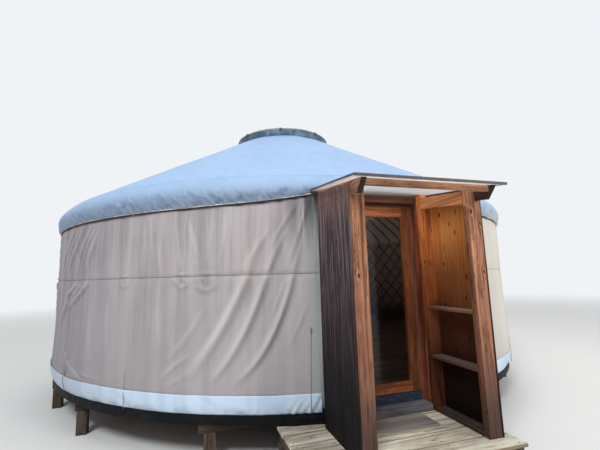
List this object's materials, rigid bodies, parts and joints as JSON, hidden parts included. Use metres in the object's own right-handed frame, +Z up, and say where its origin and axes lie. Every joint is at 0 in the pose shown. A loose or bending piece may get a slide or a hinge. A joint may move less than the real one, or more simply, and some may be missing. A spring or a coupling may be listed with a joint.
{
  "type": "yurt",
  "caption": "Round lattice-walled yurt under cloth on a raised timber platform, with a crown ring and roof poles, a hinged glazed door and a boarded porch with shelves and a small deck.",
  "frame": {"origin": "on the yurt's axis at ground level, at the foot of the platform's centre post", "axes": "+Z up, the door and porch face -Y, +X to the right seen from the front"},
  "size_m": [7.2676, 8.1337, 4.3506],
  "materials": {
    "wall_cloth": "matt proofed canvas",
    "roof_cloth": "matt proofed canvas",
    "hem_cloth": "matt proofed canvas",
    "rope": "braided rope",
    "lattice_wood": "oiled",
    "platform_wood": "weathered",
    "floor_wood": "oiled",
    "skirt_rubber": "matt",
    "door_wood": "stained",
    "frame_wood": "stained",
    "sill_paint": "satin",
    "door_glass": "clear",
    "steel": "satin",
    "porch_boards": "stained and weathered",
    "porch_posts": "stained and weathered",
    "shelf_wood": "stained",
    "deck_wood": "weathered",
    "roof_sheet": "translucent",
    "crown_rim": "satin",
    "crown_dome": "clear"
  },
  "bodies": {
    "root": {"crown_dome": "crown_dome", "crown_rim": "crown_rim", "crown_ring": "lattice_wood", "crown_spokes": "lattice_wood", "deck_joists": "platform_wood", "deck_legs": "platform_wood", "door_head": "frame_wood", "door_left_jamb": "frame_wood", "door_right_jamb": "frame_wood", "door_sill": "sill_paint", "door_threshold": "deck_wood", "floor_deck": "floor_wood", "girth_ropes": "rope", "hem_band": "hem_cloth", "hinge_frame_halves": "steel", "lattice_1": "lattice_wood", "lattice_2": "lattice_wood", "lattice_3": "lattice_wood", "lattice_4": "lattice_wood", "platform_bearers": "platform_wood", "platform_centre_post": "platform_wood", "platform_joists": "platform_wood", "platform_posts": "platform_wood", "platform_skirt": "skirt_rubber", "porch_back_posts": "porch_posts", "porch_deck": "deck_wood", "porch_front_batten": "porch_posts", "porch_left_boards": "porch_boards", "porch_left_front_post": "porch_posts", "porch_left_rafter": "porch_posts", "porch_left_shelves": "shelf_wood", "porch_right_boards": "porch_boards", "porch_right_front_post": "porch_posts", "porch_right_rafter": "porch_posts", "porch_right_shelves": "shelf_wood", "porch_roof_sheet": "roof_sheet", "porch_top_rails": "porch_posts", "roof_canvas_1": "roof_cloth", "roof_canvas_2": "roof_cloth", "roof_canvas_3": "roof_cloth", "roof_canvas_4": "roof_cloth", "roof_canvas_5": "roof_cloth", "roof_canvas_6": "roof_cloth", "roof_poles": "lattice_wood", "wall_canvas_1": "wall_cloth", "wall_canvas_2": "wall_cloth", "wall_canvas_3": "wall_cloth", "wall_canvas_4": "wall_cloth", "wall_canvas_5": "wall_cloth", "wall_canvas_6": "wall_cloth"},
    "door": {"door_leaf": "door_wood", "door_glass": "door_glass", "door_handle": "steel", "hinge_leaf_halves": "steel"}
  },
  "joints": [
    {"name": "door_hinge", "type": "hinge", "parent": "root", "child": "door", "pos_m": [0.4655, -3.4015, 0.446], "axis": [0, 0, -1], "range_deg": [0, 100]}
  ]
}
